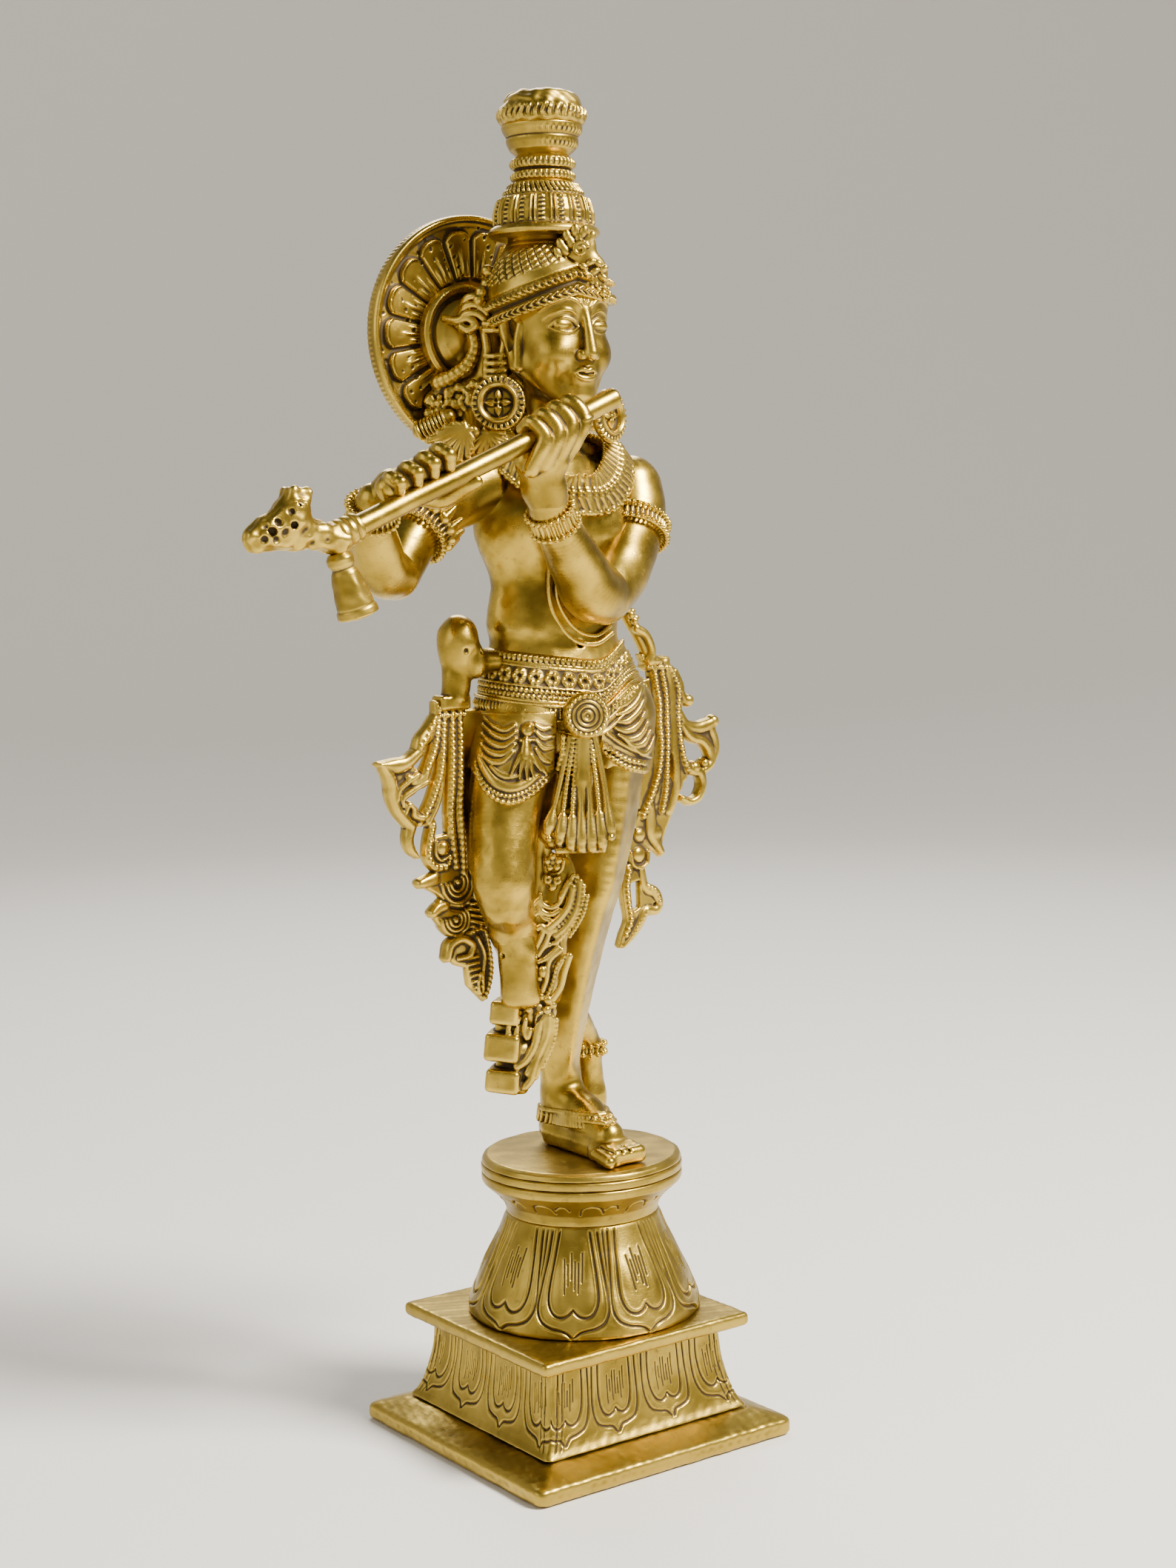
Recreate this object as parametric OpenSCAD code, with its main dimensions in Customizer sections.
// Cast brass figurine: a flute player with a tall crown and a round halo,
// standing on a turned lotus pedestal over a square two-step plinth.
// The origin is the centre of the plinth's underside, +Z is up and the
// figure faces -Y, with its right hand and the flute's far end towards -X.

/* [Plinth] */
// Side of the square foot plate
base_side = 72; // [66:1:90]
// Height of the foot plate's straight edge
base_edge_h = 4; // [3:0.5:6]
// Height of the sloping top of the foot plate
base_slope_h = 2.5; // [1:0.5:4]
// Side of the tapered skirt at its foot
skirt_foot = 56; // [52:1:62]
// Side of the tapered skirt at its top
skirt_top = 48; // [44:1:52]
// Height of the tapered skirt
skirt_h = 18.9; // [16:0.1:24]
// Side of the square shelf
shelf_side = 58; // [56:1:66]
// Thickness of the square shelf
shelf_h = 3.2; // [2.5:0.1:5]

/* [Pedestal] */
// Distance from the plinth's centre to the pedestal's axis, along X
pedestal_x = 2.8; // [0:0.1:4]
// Radius of the lotus bell at its foot
bell_foot_r = 27; // [25:0.1:27.4]
// Radius of the lotus bell at its neck
bell_neck_r = 17.6; // [16:0.1:19]
// Height of the lotus bell
bell_h = 23.4; // [20:0.1:28]
// Radius of the cap that carries the figure
cap_r = 23.3; // [22:0.1:25]
// Height of the cap
cap_h = 13.5; // [12:0.1:16]
// Wall thickness of the hollow castings
wall = 2.6; // [2:0.1:3.5]

/* [Fixing] */
// Radius of the threaded stud
stud_r = 2; // [1.5:0.1:2.5]
// Length of the stud inside the heel
stud_in_heel = 5; // [3:0.5:6]
// Width across the flats of the nut
nut_flats = 7; // [6:0.5:9]
// Thickness of the nut
nut_h = 3.2; // [2.4:0.1:4]
// Outer radius of the washer
washer_r = 6; // [5:0.5:8]
// Thickness of the washer
washer_h = 1; // [0.8:0.1:1.6]

/* [Figure] */
// Height of the figure from its soles to the top of the crown
figure_h = 239; // [200:1:260]
// Radius of the halo
halo_r = 27; // [22:0.1:30]
// Thickness of the halo's rim
halo_t = 6; // [4:0.1:8]
// Radius of the flute
flute_r = 2.3; // [1.8:0.1:2.6]
// Radius of the disc earrings
earring_r = 6.2; // [5:0.1:7]
// Thickness of the web between the hip and each side sash
sash_web = 2.4; // [1.6:0.1:3]

/* [Hidden] */
$fn = 64;
soft_fn = 12;
crown_fn = 64;
gap = 0.01;

// Heights of the pedestal's parts above the ground
base_h = base_edge_h + base_slope_h;
shelf_z = base_h + skirt_h;
bell_z = shelf_z + shelf_h;
cap_z = bell_z + bell_h;
sole_z = cap_z + cap_h;

// The figure is laid out at this height, with Z counted from its soles
layout_h = 239;
figure_scale = figure_h / layout_h;

// Standing leg, on the figure's left
left_hip = [11, -1, 100];
left_mid_thigh = [9, -2, 82];
left_knee = [3.8, -3.6, 59];
left_calf = [2.3, 1.6, 40];
left_ankle = [2.6, 7.2, 14];
left_heel = [3.2, 9.4, 3.8];
left_instep = [3.3, -2.6, 6.2];
left_ball = [2.6, -12, 3];
left_toes = [2.8, -17.5, 2.2];

// Crossed leg, on the figure's right
right_hip = [-10, -1, 100];
right_mid_thigh = [-20.2, -6, 82];
right_knee = [-23.8, -10.4, 63];
right_calf = [-13, -2, 48];
right_ankle = [13.5, 12, 23];
right_ball = [14, 12, 9];
right_toes = [14, 9.5, 2.4];

// Arms
left_shoulder = [21.5, 0, 151];
left_elbow = [0.5, -13, 128];
left_wrist = [-18, -22.5, 146];
left_palm = [-22.3, -26, 153];
left_knuckles = [-24.5, -28.5, 161.6];
right_shoulder = [-21.5, 1, 153];
right_elbow = [-47.8, -6, 133.5];
right_wrist = [-60.5, -18, 149];
right_palm = [-56.5, -23.5, 154.5];
right_knuckles = [-48, -25.5, 160.5];

// Flute and its fittings
flute_mouth = [-3.2, -27, 170.8];
flute_end = [-75.6, -30, 141.8];
bird_neck = [-79.5, -30, 144.3];
bird_head = [-86, -30, 148];
bird_beak = [-94.5, -30, 142.2];
bell_hook = [-74.5, -30, 138.5];
bell_mouth = [-70.6, -30, 127];

// Head, hair and halo
head_c = [-2, -3, 186];
chin = [-3.2, -10.5, 174.5];
neck_foot = [-1, 0, 158];
neck_top = [-1.5, -2, 172];
halo_c = [-8.5, 21, 187.2];
boss_c = [-12.5, 19.6, 187];
crown_axis = [-2, 0, 0];
right_earring_turn = 40;
left_earring_turn = -20;
right_ear = [-18.5, -3.5, 170.5];
left_ear = [8.8, -8, 168];

// Heights of the crown's parts
turban_z = 194;
crown_neck_z = 202.5;
crown_bell_z = 207;
crown_rings_z = 219;
crown_cup_z = 225;
crown_knob_z = 231.8;
crown_top_z = 239;

// ---- helpers ----

// The figure's own space, standing on the pedestal
module on_pedestal() {
    translate([0, 0, sole_z]) scale(figure_scale) children();
}

// A round limb through the given points, each [centre, radius]
module limb(beads) {
    for (i = [0 : len(beads) - 2])
        hull() for (b = [beads[i], beads[i + 1]])
            translate(b[0]) sphere(r = b[1], $fn = soft_fn);
}

// A soft body through ellipsoids, each [centre, half sizes]
module body_form(beads) {
    for (i = [0 : len(beads) - 2])
        hull() for (b = [beads[i], beads[i + 1]])
            translate(b[0]) scale(b[1]) sphere(r = 1, $fn = soft_fn + 2);
}

// Turns a shape drawn along +Z so that it runs from a to b
module along(a, b) {
    d = b - a;
    translate(a)
        rotate([0, acos(d[2] / norm(d)), atan2(d[1], d[0])]) children();
}

// A ring around the line from a to b, centred on a
module ring_at(a, b, ring_r, bar_r, height) {
    along(a, b) translate([0, 0, -height / 2]) difference() {
        cylinder(r = ring_r + bar_r, h = height);
        translate([0, 0, -1]) cylinder(r = ring_r, h = height + 2);
    }
}

// A flat casting drawn in the XZ plane, with its middle at the given Y
module slab(y, thick) {
    translate([0, y + thick / 2, 0]) rotate([90, 0, 0])
        linear_extrude(thick) children();
}

// A turned part whose outline is a list of [radius, height]
module turned(outline) {
    rotate_extrude($fn = crown_fn) polygon(outline);
}

// ---- plinth and pedestal ----

module base_plate() {
    color("darkgoldenrod") {
        translate([-base_side / 2, -base_side / 2, 0])
            cube([base_side, base_side, base_edge_h]);
        hull() {
            translate([0, 0, base_edge_h])
                linear_extrude(gap) square(base_side - 1, center = true);
            translate([0, 0, base_h - gap])
                linear_extrude(gap) square(skirt_foot + 2, center = true);
        }
    }
}

// A square frustum that stands at the given height
module square_taper(foot, top, z, height) {
    f = foot / 2;
    t = top / 2;
    polyhedron(
        points = [
            [-f, -f, z], [f, -f, z], [f, f, z], [-f, f, z],
            [-t, -t, z + height], [t, -t, z + height],
            [t, t, z + height], [-t, t, z + height]
        ],
        faces = [
            [0, 1, 2, 3], [7, 6, 5, 4],
            [0, 4, 5, 1], [1, 5, 6, 2], [2, 6, 7, 3], [3, 7, 4, 0]
        ]
    );
}

module plinth_skirt() {
    color("goldenrod") difference() {
        square_taper(skirt_foot, skirt_top, base_h, skirt_h);
        square_taper(skirt_foot - 2 * wall, skirt_top - 2 * wall,
                     base_h - gap, skirt_h + 2 * gap);
    }
}

module plinth_shelf() {
    color("darkgoldenrod") difference() {
        translate([-shelf_side / 2, -shelf_side / 2, shelf_z])
            cube([shelf_side, shelf_side, shelf_h]);
        stud_hole();
    }
}

module stud_hole() {
    translate([left_heel[0], left_heel[1] - 2, 0])
        cylinder(r = stud_r + 0.1, h = sole_z + 1);
}

module lotus_bell() {
    mid_r = bell_foot_r * 0.84;
    color("goldenrod") translate([pedestal_x, 0, bell_z]) turned([
        [bell_foot_r - wall, 0], [bell_foot_r, 0], [bell_foot_r - 0.6, 3],
        [mid_r + 1.2, bell_h * 0.38], [mid_r - 1.8, bell_h * 0.62],
        [bell_neck_r + 0.9, bell_h * 0.85], [bell_neck_r, bell_h],
        [bell_neck_r - wall, bell_h], [bell_neck_r - wall + 0.9, bell_h * 0.85],
        [mid_r - 1.8 - wall, bell_h * 0.62], [mid_r + 1.2 - wall, bell_h * 0.38]
    ]);
}

module pedestal_cap() {
    color("darkgoldenrod") difference() {
        translate([pedestal_x, 0, cap_z]) turned([
            [0, 0], [bell_neck_r, 0], [bell_neck_r, 0.8],
            [bell_neck_r + 1.2, 4], [cap_r - 1, 6.6], [cap_r, 7.6],
            [cap_r, 9.2], [cap_r - 0.4, 9.5], [cap_r, 9.8], [cap_r, 11],
            [cap_r - 0.4, 11.3], [cap_r - 0.1, 11.6], [cap_r - 0.3, cap_h - 0.8],
            [cap_r - 0.9, cap_h], [0, cap_h]
        ]);
        stud_hole();
        translate(right_toes + [0, 0, sole_z - right_toes[2] - 3])
            cylinder(r = 0.9, h = 4);
    }
}

module fixing_stud() {
    z0 = shelf_z - washer_h - nut_h - 1.5;
    color("gray") translate([left_heel[0], left_heel[1] - 2, z0])
        cylinder(r = stud_r, h = sole_z + stud_in_heel - z0);
}

module fixing_washer() {
    color("silver") translate([left_heel[0], left_heel[1] - 2, shelf_z - washer_h])
        difference() {
            cylinder(r = washer_r, h = washer_h);
            translate([0, 0, -1]) cylinder(r = stud_r + 0.2, h = washer_h + 2);
        }
}

module fixing_nut() {
    color("silver")
        translate([left_heel[0], left_heel[1] - 2, shelf_z - washer_h - nut_h])
            difference() {
                cylinder(r = nut_flats / sqrt(3), h = nut_h, $fn = 6);
                translate([0, 0, -1]) cylinder(r = stud_r + 0.05, h = nut_h + 2);
            }
}

module toe_pin() {
    color("gray") translate([right_toes[0], right_toes[1], sole_z - 2.8])
        cylinder(r = 0.8, h = 4.2);
}

// ---- legs ----

module left_leg_form() {
    limb([[left_hip, 11.5], [left_mid_thigh, 9.6], [left_knee, 7], [left_calf, 6.2],
          [left_ankle, 5], [left_heel, 3.9]]);
    hull() {
        translate(left_ankle) sphere(r = 4.6, $fn = soft_fn);
        translate(left_instep) sphere(r = 4.4, $fn = soft_fn);
    }
    body_form([[left_heel, [4, 4.6, 3.5]], [left_instep, [4.5, 5, 4.8]],
               [left_ball, [5.2, 5, 2.9]], [left_toes, [5.2, 4, 2.1]]]);
}

module left_leg() {
    color("goldenrod") on_pedestal() difference() {
        left_leg_form();
        translate([-20, -30, -10]) cube([50, 50, 10]);
        hip_form();
        translate([left_heel[0], left_heel[1] - 2, -1])
            cylinder(r = stud_r + 0.1, h = stud_in_heel + 1.2);
    }
}

module right_leg_form() {
    limb([[right_hip, 11.5], [right_mid_thigh, 8.6], [right_knee, 6.5],
          [right_calf, 5.6], [right_ankle, 3.6], [right_ball, 3.6], [right_toes, 2.6]]);
}

module right_leg() {
    color("goldenrod") on_pedestal() difference() {
        right_leg_form();
        translate([-20, -30, -10]) cube([50, 60, 10]);
        hip_form();
        left_leg_form();
        translate([right_toes[0], right_toes[1], -1]) cylinder(r = 0.9, h = 2.6);
    }
}

module left_anklet() {
    color("gold") on_pedestal() difference() {
        translate([left_heel[0], left_heel[1] - 6.8, 6.8]) scale([6.8, 12.2, 1])
            cylinder(r = 1, h = 2.8);
        left_leg_form();
    }
}

module right_anklet() {
    color("gold") on_pedestal() difference() {
        ring_at(right_ankle - [0, 0, 2.5], right_ball, 2, 2.8, 2.4);
        right_leg_form();
        left_leg_form();
    }
}

// ---- hips, belt and hanging cloth ----

module hip_form() {
    body_form([[[0, 0, 96], [19, 12.6, 7]], [[0, 0, 106], [20.5, 13.6, 8]],
               [[-1, 0, 115], [17.6, 11.6, 4]]]);
}

module hip_wrap() {
    color("goldenrod") on_pedestal() difference() {
        hip_form();
        torso_form();
    }
}

// An upright oval band around the hips
module belt_form(half_x, half_y, z, height) {
    sides = 48;
    translate([0, 0, z]) linear_extrude(height)
        polygon([for (i = [0 : sides - 1])
            [half_x * cos(360 * i / sides), half_y * sin(360 * i / sides)]]);
}

// The space of the belt, which the cloth and the sashes keep clear of
module belt_space() {
    belt_form(22, 15.1, 101.4, 8.2);
}

module belt() {
    color("gold") on_pedestal() difference() {
        belt_form(21.9, 15, 101.5, 8);
        hip_form();
        belt_buckle_form();
    }
}

module belt_buckle_form() {
    translate([-3.7, -12.5, 101.5]) rotate([90, 0, 0]) cylinder(r = 5.2, h = 4.2);
}

module belt_buckle() {
    color("gold") on_pedestal() difference() {
        belt_buckle_form();
        hip_form();
    }
}

module apron(centre, half, low) {
    hull() {
        translate(centre) scale(half) sphere(r = 1, $fn = soft_fn);
        translate([centre[0], centre[1], low]) scale(half * 0.9)
            sphere(r = 1, $fn = soft_fn);
    }
}

module right_apron_form() {
    apron([-14, -3, 96], [12.2, 12.2, 4], 90);
}

module left_apron_form() {
    apron([13, -2, 100], [12, 13.2, 6], 93);
}

module right_thigh_apron() {
    color("gold") on_pedestal() difference() {
        right_apron_form();
        hip_form();
        right_leg_form();
        left_leg_form();
        belt_space();
        tassel_form();
    }
}

module left_thigh_apron() {
    color("gold") on_pedestal() difference() {
        left_apron_form();
        hip_form();
        left_leg_form();
        right_leg_form();
        belt_space();
        belt_buckle_form();
        tassel_form();
        translate([-30, -30, 80]) cube([31, 60, 40]);
    }
}

module tassel_form() {
    hull() {
        translate([-4.5, -15.6, 95]) scale([3, 2.4, 2]) sphere(r = 1, $fn = soft_fn);
        translate([-8, -18, 76.5]) scale([9, 3, 2.6]) sphere(r = 1, $fn = soft_fn);
    }
}

module centre_tassel() {
    color("gold") on_pedestal() difference() {
        tassel_form();
        hip_form();
        left_leg_form();
        right_leg_form();
    }
}

module swag_form() {
    limb([[[-8, -15, 72], 3.4], [[-10, -14.5, 64], 4.4], [[-12.5, -12.5, 56], 4.2],
          [[-14, -10, 48], 3.6], [[-12, -8.5, 41], 2.6]]);
    hull() {
        translate([-3, -11, 66]) sphere(r = 2, $fn = soft_fn);
        translate([-9, -11, 52]) sphere(r = 3, $fn = soft_fn);
    }
}

module scroll_swag() {
    color("gold") on_pedestal() difference() {
        swag_form();
        tassel_form();
        left_leg_form();
        right_leg_form();
    }
}

module drape_form() {
    hull() {
        translate([-19.3, -7.4, 56]) scale([5, 4.2, 3]) sphere(r = 1, $fn = soft_fn);
        translate([-18.1, -7, 40]) scale([4.9, 4, 2]) sphere(r = 1, $fn = soft_fn);
    }
}

module knee_drape() {
    color("goldenrod") on_pedestal() difference() {
        drape_form();
        right_leg_form();
        left_leg_form();
        swag_form();
    }
}

module pleat_form() {
    step = 7.2;
    for (i = [0 : 2])
        hull() {
            translate([-24.5 + i, -15 + i * 0.4, 39.2 - (i + 1) * step])
                cube([9 - i, 8.4, step - 0.9]);
            translate([-14, -9, 37.5 - (i + 1) * step]) cube([9, 6, step - 0.6]);
        }
    translate([-22, -13, 18.6]) cube([7, 5.6, 20.2]);
}

module pleat_tail() {
    color("goldenrod") on_pedestal() difference() {
        pleat_form();
        drape_form();
        left_leg_form();
        right_leg_form();
        swag_form();
    }
}

// Side sash on the flute's side: four strands, a flame edge and scroll lobes
module right_sash() {
    color("gold") on_pedestal() difference() {
        union() {
            slab(0, 5.4) difference() {
                polygon([
                    [-25, 105.5], [-35, 105.5], [-39, 99], [-42, 93], [-50.5, 94],
                    [-50.5, 89], [-48, 84], [-44.5, 77.5], [-41, 78], [-40, 70],
                    [-36, 67], [-34.5, 60], [-31, 54], [-29.5, 46], [-23, 38],
                    [-20.8, 44], [-21, 52], [-24.5, 63], [-25.4, 72], [-24.6, 90]
                ]);
                translate([-40.4, 85.5]) circle(r = 2.2, $fn = 24);
            }
            // the web of metal between the sash and the hip
            slab(1.4, sash_web) polygon([[-26, 104], [-15, 104], [-15, 78], [-26, 78]]);
        }
        right_leg_form();
        hip_form();
        belt_space();
        drape_form();
        right_apron_form();
    }
}

module right_sash_knot() {
    color("goldenrod") on_pedestal() difference() {
        union() {
            hull() {
                translate([-28, 0, 118.4]) scale([5, 4.8, 6.4]) sphere(r = 1, $fn = soft_fn);
                translate([-28.6, 0, 107.5]) scale([4.2, 3.6, 2]) sphere(r = 1, $fn = soft_fn);
            }
            limb([[[-26, -1.6, 114.4], 2.9], [[-16, -1.6, 113.8], 2.8]]);
        }
        hip_form();
        torso_form();
        belt_space();
    }
}

// Side sash on the far side, the right one's mirror with a higher root
module left_sash() {
    color("gold") on_pedestal() difference() {
        union() {
            slab(8, 5.4) difference() {
                polygon([
                    [27, 112], [35, 108], [39.5, 101], [45, 101], [51.8, 95],
                    [51.8, 86], [47, 78], [41, 74], [37.5, 66], [36.5, 58],
                    [33, 50], [23.5, 43.5], [22.5, 52], [25.5, 64], [25, 80], [25.6, 96]
                ]);
                translate([43.6, 87.5]) circle(r = 2.2, $fn = 24);
            }
            slab(9, sash_web) polygon([[27, 105], [13, 105], [13, 93], [26, 76]]);
        }
        left_leg_form();
        hip_form();
        belt_space();
        left_apron_form();
    }
}

module left_sash_strap() {
    color("goldenrod") on_pedestal() difference() {
        limb([[[10, 6.8, 129], 2.2], [[19.5, 7.5, 127], 2.3], [[25, 8, 120], 3],
              [[30, 8, 113.6], 3.2]]);
        torso_form();
        hip_form();
        slab(8, 5.6) polygon([[27, 112], [35, 108], [36, 90], [26, 90]]);
    }
}

// ---- torso ----

module torso_form() {
    body_form([[[-1.5, 0, 119], [16, 10.2, 5]], [[-2, 0, 127], [15, 9.4, 6]],
               [[-1.5, 0, 141], [18, 11, 8]], [[-1, 0, 150], [20.5, 9.6, 6]],
               [[-1, 0, 156], [11, 7.6, 4]]]);
    limb([[neck_foot, 6], [neck_top, 5.4]]);
}

module torso() {
    color("goldenrod") on_pedestal() torso_form();
}

module thread_form() {
    limb([[[-8, -10.6, 140], 0.9], [[-8.5, -10.2, 132], 0.9], [[-7.5, -9.8, 124], 0.9],
          [[-3, -11.4, 117.5], 0.9], [[3, -11.6, 116.8], 0.9], [[7, -10.4, 120], 0.9]]);
}

module thread_cord() {
    color("gold") on_pedestal() difference() {
        thread_form();
        torso_form();
        hip_form();
    }
}

module collar_form() {
    hull() {
        translate([-1, -1, 160.2]) scale([15.6, 10.2, 3.2]) sphere(r = 1, $fn = 24);
        translate([-1, -5, 151]) scale([12, 9.4, 4.4]) sphere(r = 1, $fn = 24);
    }
}

module collar() {
    color("gold") on_pedestal() difference() {
        collar_form();
        torso_form();
        left_upper_arm_form();
        left_forearm_form();
        right_upper_arm_form();
        right_locks_form();
        left_locks_form();
    }
}

// ---- arms ----

module left_upper_arm_form() {
    limb([[left_shoulder, 8], [[15, -4, 141], 7.8], [left_elbow, 6.8]]);
}

module left_forearm_form() {
    limb([[left_elbow + [-2, -1.2, 1.6], 6.4], [[-7, -17, 135], 6.4], [left_wrist, 4.4]]);
}

module left_upper_arm() {
    color("goldenrod") on_pedestal() difference() {
        left_upper_arm_form();
        torso_form();
    }
}

module left_forearm() {
    color("goldenrod") on_pedestal() difference() {
        left_forearm_form();
        left_upper_arm_form();
        torso_form();
    }
}

module left_hand_form() {
    limb([[left_wrist, 4.4], [left_palm, 5.4], [left_knuckles, 4.2]]);
    body_form([[left_palm + [1, -2, 3], [3.6, 3.2, 4]],
               [left_knuckles + [2, -2.5, 2], [6, 3, 3.4]]]);
}

module left_hand() {
    color("goldenrod") on_pedestal() difference() {
        left_hand_form();
        left_forearm_form();
        flute_form();
        skull_form();
    }
}

module right_upper_arm_form() {
    limb([[right_shoulder, 7.4], [[-34.5, -2.5, 143.5], 6.7], [right_elbow, 5.9]]);
}

module right_forearm_form() {
    limb([[right_elbow + [-1.4, -1.2, 1.6], 5.8], [[-54.5, -12, 141], 5.8],
          [right_wrist, 4.3]]);
}

module right_upper_arm() {
    color("goldenrod") on_pedestal() difference() {
        right_upper_arm_form();
        torso_form();
    }
}

module right_forearm() {
    color("goldenrod") on_pedestal() difference() {
        right_forearm_form();
        right_upper_arm_form();
        flute_form();
    }
}

module right_hand_form() {
    limb([[right_wrist, 4.3], [right_palm, 4.8], [right_knuckles, 4.2]]);
    limb([[right_palm + [3, -3, 3], 3], [right_knuckles + [2, -3.5, 2.5], 2.6]]);
}

module right_hand() {
    color("goldenrod") on_pedestal() difference() {
        right_hand_form();
        right_forearm_form();
        flute_form();
    }
}

module left_armlet() {
    color("gold") on_pedestal() difference() {
        ring_at([16.5, -3, 143], left_elbow, 6, 3, 3);
        left_upper_arm_form();
        torso_form();
        left_forearm_form();
        collar_form();
    }
}

module right_armlet() {
    color("gold") on_pedestal() difference() {
        ring_at([-36, -2.7, 141], right_elbow, 5, 3.6, 4.4);
        right_upper_arm_form();
        torso_form();
        right_forearm_form();
        flute_form();
    }
}

module left_bracelet() {
    color("gold") on_pedestal() difference() {
        ring_at(left_wrist - [-1, -0.6, 1], left_palm, 3, 3.4, 3.6);
        left_forearm_form();
        left_hand_form();
    }
}

module right_bracelet() {
    color("gold") on_pedestal() difference() {
        ring_at(right_wrist - [-0.6, -0.6, 1], right_palm, 3, 3, 3.6);
        right_forearm_form();
        right_hand_form();
        flute_form();
    }
}

// ---- flute ----

module flute_form() {
    along(flute_mouth, flute_end)
        cylinder(r = flute_r, h = norm(flute_end - flute_mouth));
}

module flute() {
    color("khaki") on_pedestal() flute_form();
}

// Three rings on the far end of the flute
module flute_ferrule() {
    ring_h = 1.7;
    length = norm(flute_end - flute_mouth);
    color("gold") on_pedestal() along(flute_mouth, flute_end)
        translate([0, 0, length - 3 * ring_h]) difference() {
            for (i = [0 : 2]) translate([0, 0, i * ring_h]) {
                cylinder(r1 = flute_r + 0.5, r2 = flute_r + 1, h = ring_h / 2);
                translate([0, 0, ring_h / 2])
                    cylinder(r1 = flute_r + 1, r2 = flute_r + 0.5, h = ring_h / 2);
            }
            translate([0, 0, -1]) cylinder(r = flute_r, h = 3 * ring_h + 2);
        }
}

module bird_form() {
    limb([[flute_end + [-1.4, 0, 0.6], 3], [bird_neck, 2.8], [bird_head, 4.6]]);
    limb([[bird_head, 4.6], [[-90.6, -30, 146], 3.6], [bird_beak, 2]]);
}

module flute_cutter() {
    along(flute_end, flute_mouth) cylinder(r = flute_r + 3, h = 20);
}

module flute_bird() {
    color("goldenrod") on_pedestal() difference() {
        bird_form();
        flute_cutter();
    }
}

module flute_bell() {
    color("goldenrod") on_pedestal() difference() {
        union() {
            along(bell_hook, bell_mouth) turned([
                [0, 0], [2, 0], [2.6, 1.4], [2.2, 2.2], [2.8, 3.6], [4.2, 8.8],
                [4, 9.2], [4.3, 9.6], [4.4, 12.1], [0, 12.1]
            ]);
            translate(bell_hook) sphere(r = 2.2, $fn = 24);
        }
        flute_form();
        bird_form();
        flute_cutter();
    }
}

// ---- head ----

module skull_form() {
    body_form([[head_c, [12, 13, 14.6]], [chin, [6, 5.6, 5]]]);
}

module head_form() {
    skull_form();
    limb([[[-2.4, -15.2, 184], 1.4], [[-2.7, -17.6, 178.8], 1.6]]);
}

module head() {
    color("goldenrod") on_pedestal() difference() {
        head_form();
        torso_form();
        flute_form();
        turban_form();
    }
}

// Locks that fall behind the right ear on to the shoulder
module right_locks_form() {
    body_form([[[-10, 7, 184], [6, 6, 7]], [[-21, 4, 171], [6, 5, 6]],
               [[-28, 3, 163.5], [5.4, 5, 4]]]);
}

module left_locks_form() {
    body_form([[[8, 6, 184], [6, 6, 7]], [[15, 3, 170], [5.4, 5, 6]],
               [[18, 2, 163.5], [4.6, 4.6, 4]]]);
}

module right_locks() {
    color("darkgoldenrod") on_pedestal() difference() {
        right_locks_form();
        head_form();
        torso_form();
        right_upper_arm_form();
        turban_form();
        halo_form();
    }
}

module left_locks() {
    color("darkgoldenrod") on_pedestal() difference() {
        left_locks_form();
        head_form();
        torso_form();
        left_upper_arm_form();
        turban_form();
        halo_form();
    }
}

module earring_form(place, turn) {
    translate(place) rotate([90, 0, -turn]) translate([0, 0, -1])
        turned([[0, 0], [earring_r, 0], [earring_r, 2.6], [4.4, 3], [3.8, 2.2], [0, 2.2]]);
}

module right_earring() {
    color("gold") on_pedestal() difference() {
        earring_form(right_ear, right_earring_turn);
        head_form();
        right_locks_form();
        torso_form();
    }
}

module left_earring() {
    color("gold") on_pedestal() difference() {
        earring_form(left_ear, left_earring_turn);
        head_form();
        left_locks_form();
        torso_form();
    }
}

module halo_form() {
    translate(halo_c) rotate([90, 0, 0]) translate([0, 0, -halo_t / 2]) turned([
        [0, 0], [halo_r - 3, 0], [halo_r, 1.6], [halo_r, halo_t - 0.6],
        [halo_r - 0.8, halo_t], [halo_r - 2.6, halo_t - 0.2],
        [halo_r - 4, halo_t - 1.6], [0, halo_t - 1.6]
    ]);
}

module halo_dish() {
    color("goldenrod") on_pedestal() difference() {
        halo_form();
        halo_pin_form();
    }
}

module halo_boss() {
    color("gold") on_pedestal() difference() {
        translate(boss_c) rotate([90, 0, 0]) turned([
            [0, 0], [11.2, 0], [11.4, 1.2], [10.8, 2.2], [9.8, 2.4], [9, 3.4], [6, 5.4], [0, 6.4]
        ]);
        skull_form();
        turban_form();
        halo_pin_form();
    }
}

module halo_pin_form() {
    translate(halo_c + [0, halo_t / 2 + gap, 0]) rotate([90, 0, 0])
        cylinder(r = 1.6, h = 19);
}

module halo_pin() {
    color("gray") on_pedestal() difference() {
        halo_pin_form();
        skull_form();
        turban_form();
    }
}

// ---- turban and crown ----

module turban_form() {
    translate([-1, 0, turban_z]) turned([
        [0, 0], [12.8, 0], [13.2, 2.4], [12.4, 4.4], [10.6, 6.4], [8.2, 8.5], [0, 8.5]
    ]);
}

module turban() {
    color("goldenrod") on_pedestal() turban_form();
}

module brow_roll() {
    color("gold") on_pedestal() difference() {
        translate([-1.6, -1.4, turban_z - 1]) rotate([8, 0, 0]) turned([
            [10, 0], [13.2, 0], [14.6, 1.6], [14.4, 3.4], [12.8, 4.6], [10, 4.6]
        ]);
        turban_form();
        skull_form();
        halo_form();
    }
}

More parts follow.
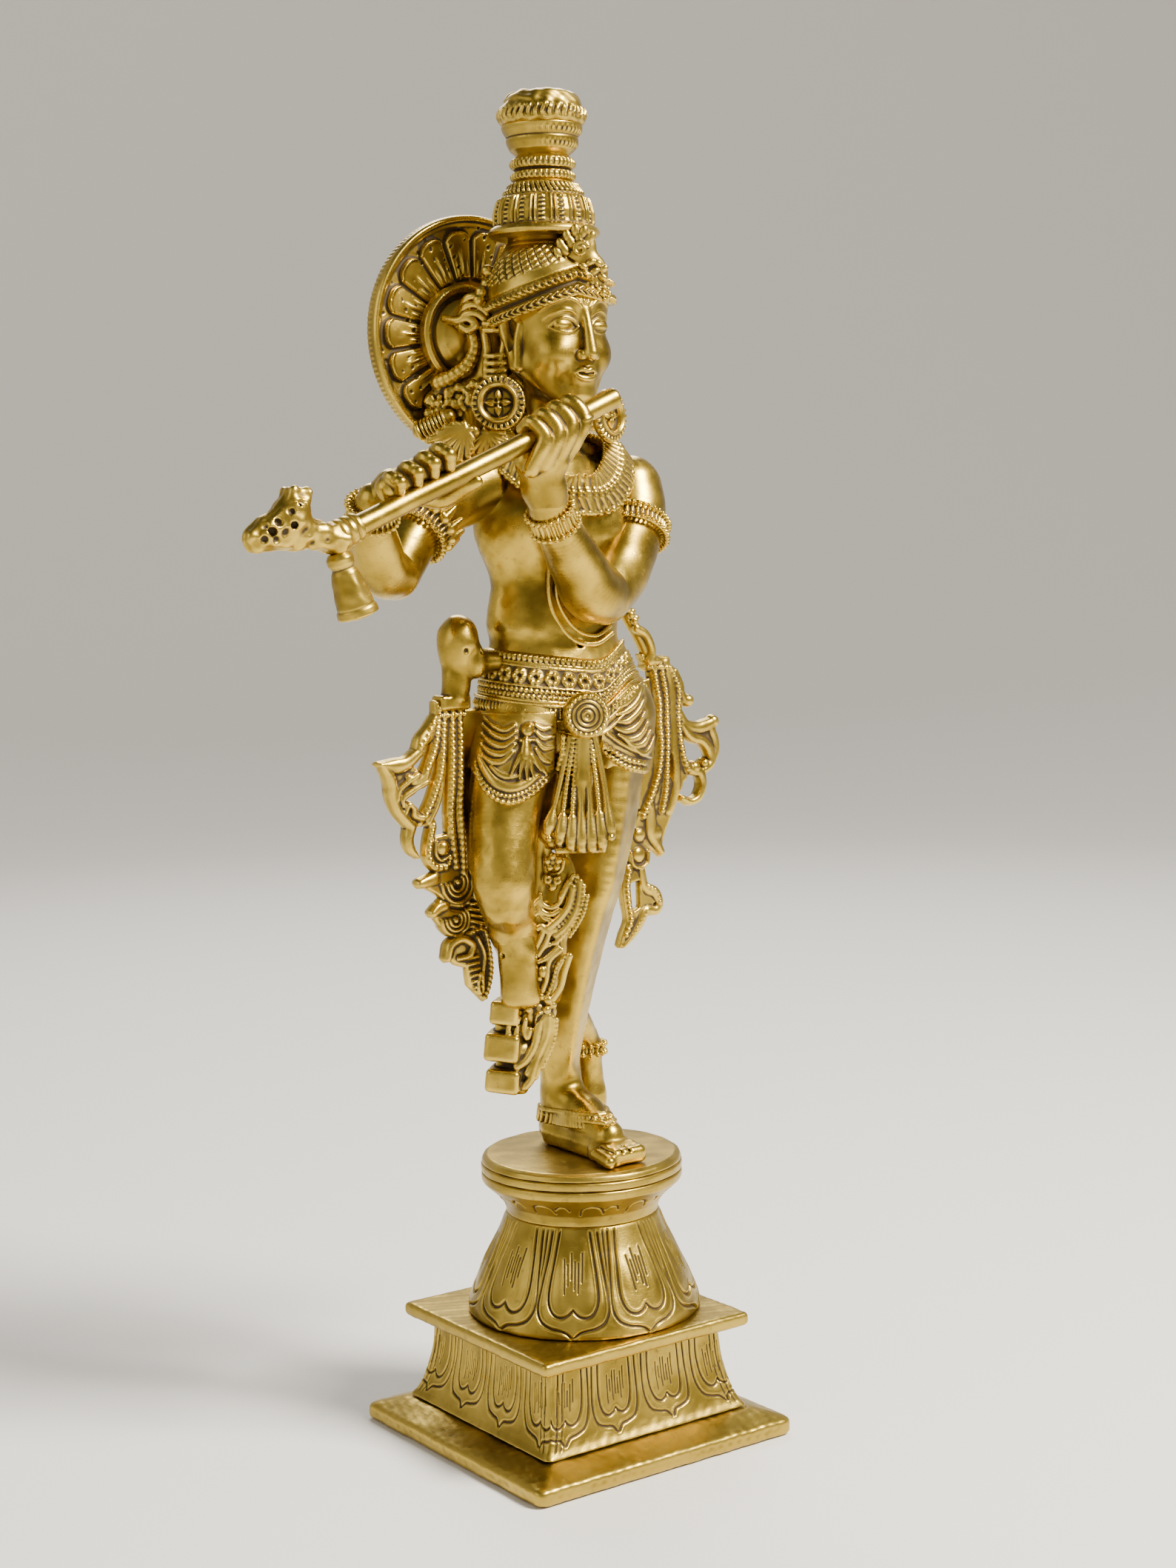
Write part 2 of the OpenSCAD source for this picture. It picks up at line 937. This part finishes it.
module crown_crest() {
    color("gold") on_pedestal() difference() {
        hull() {
            translate([0.6, -11.8, 200]) scale([4, 2, 3]) sphere(r = 1, $fn = soft_fn);
            translate([-1, -12.2, 206.4]) scale([1.8, 1.8, 2.4]) sphere(r = 1, $fn = soft_fn);
        }
        turban_form();
        crown_lathe_forms();
        brow_space();
    }
}

module brow_space() {
    translate([-1.6, -1.4, turban_z - 1]) rotate([8, 0, 0])
        cylinder(r = 14.7, h = 4.7);
}

module crown_lathe_forms() {
    translate([0, 0, crown_neck_z] + crown_axis) cylinder(r = 8.9, h = 4.5);
    translate([0, 0, crown_bell_z] + crown_axis) cylinder(r = 12.4, h = 12);
}

module crown_neck() {
    color("goldenrod") on_pedestal() translate([0, 0, crown_neck_z] + crown_axis)
        turned([[0, 0], [8.6, 0], [8.8, 1], [8, 2], [8.6, 3], [8.2, 4.5], [0, 4.5]]);
}

module crown_bell() {
    color("gold") on_pedestal() translate([0, 0, crown_bell_z] + crown_axis)
        turned([[0, 0], [10.6, 0], [12.2, 0.8], [12, 2], [11, 3], [10.9, 5.4],
                [9.6, 8.8], [8.2, 10.6], [7, 12], [0, 12]]);
}

module crown_rings() {
    color("goldenrod") on_pedestal() translate([0, 0, crown_rings_z] + crown_axis)
        turned([[0, 0], [6.4, 0], [7.1, 1.2], [6.2, 2.6], [6.2, 3], [7.1, 4],
                [6.6, 5.2], [5.7, 6], [0, 6]]);
}

module crown_cup() {
    color("gold") on_pedestal() translate([0, 0, crown_cup_z] + crown_axis)
        turned([[0, 0], [5.7, 0], [7.2, 1.2], [8.1, 3.4], [8, 4.2], [9, 6.2],
                [8.6, 6.8], [0, 6.8]]);
}

module crown_knob() {
    color("gold") on_pedestal() translate([0, 0, crown_knob_z] + crown_axis)
        turned([[0, 0], [8.9, 0], [9.7, 1.4], [9.7, 3], [8.6, 5], [7.6, 6.4],
                [6.2, crown_top_z - crown_knob_z], [0, crown_top_z - crown_knob_z]]);
}

base_plate();
plinth_skirt();
plinth_shelf();
lotus_bell();
pedestal_cap();
fixing_stud();
fixing_washer();
fixing_nut();
toe_pin();
left_leg();
right_leg();
left_anklet();
right_anklet();
hip_wrap();
belt();
belt_buckle();
right_thigh_apron();
left_thigh_apron();
centre_tassel();
scroll_swag();
knee_drape();
pleat_tail();
right_sash();
right_sash_knot();
left_sash();
left_sash_strap();
torso();
thread_cord();
collar();
left_upper_arm();
left_forearm();
left_hand();
right_upper_arm();
right_forearm();
right_hand();
left_armlet();
right_armlet();
left_bracelet();
right_bracelet();
flute();
flute_ferrule();
flute_bird();
flute_bell();
head();
right_locks();
left_locks();
right_earring();
left_earring();
halo_dish();
halo_boss();
halo_pin();
turban();
brow_roll();
crown_crest();
crown_neck();
crown_bell();
crown_rings();
crown_cup();
crown_knob();
